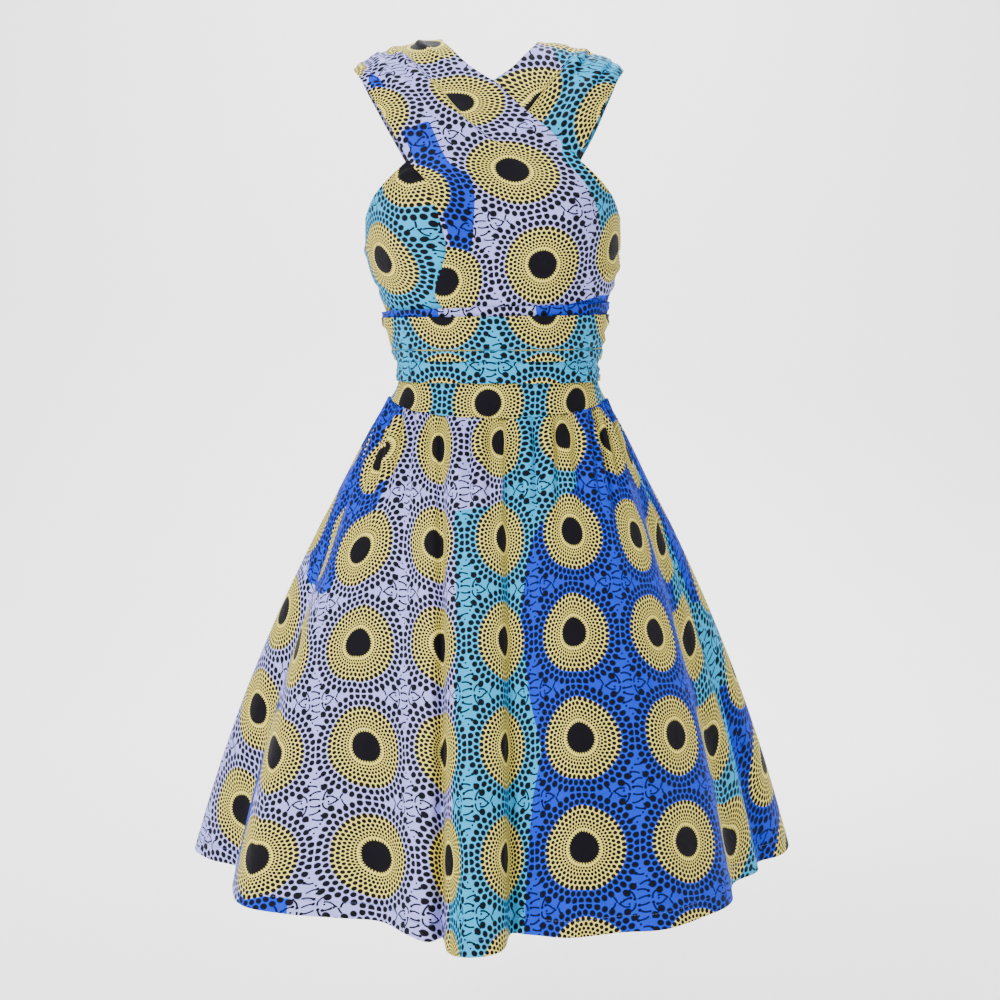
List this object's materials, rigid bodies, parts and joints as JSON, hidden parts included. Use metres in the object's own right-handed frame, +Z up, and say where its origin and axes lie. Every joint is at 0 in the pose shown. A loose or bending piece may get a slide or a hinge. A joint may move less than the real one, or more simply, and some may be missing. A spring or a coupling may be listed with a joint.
{
  "type": "pleated wrap dress",
  "caption": "Sleeveless knee-length wrap dress: full gathered and pleated skirt, waistband, waist wraps and wide straps crossing at chest and back.",
  "frame": {"origin": "midway between the two shoulder straps, at the height of the wearer's shoulder line under them", "axes": "+Z up along the body, -Y to the front of the dress, +X to the wearer's left"},
  "size_m": [0.6931, 0.6476, 0.9299],
  "materials": {
    "print_blue": "printed cotton, royal blue ground with yellow dotted discs",
    "print_aqua": "printed cotton, turquoise ground with yellow dotted discs",
    "print_lavender": "printed cotton, lavender ground with yellow dotted discs"
  },
  "bodies": {
    "root": {"strap_right_front": "print_lavender", "strap_right_back": "print_lavender", "strap_left_front": "print_aqua", "strap_left_back": "print_aqua", "wrap_underbust_front": "print_blue", "wrap_upper_front": "print_aqua", "wrap_lower_front": "print_aqua", "wrap_cross_over_back": "print_aqua", "wrap_cross_under_back": "print_lavender", "wrap_upper_end_back": "print_aqua", "wrap_lower_end_back": "print_aqua", "waistband_front": "print_aqua", "waistband_back": "print_aqua", "skirt_front": "print_blue", "skirt_back": "print_blue"}
  },
  "joints": []
}
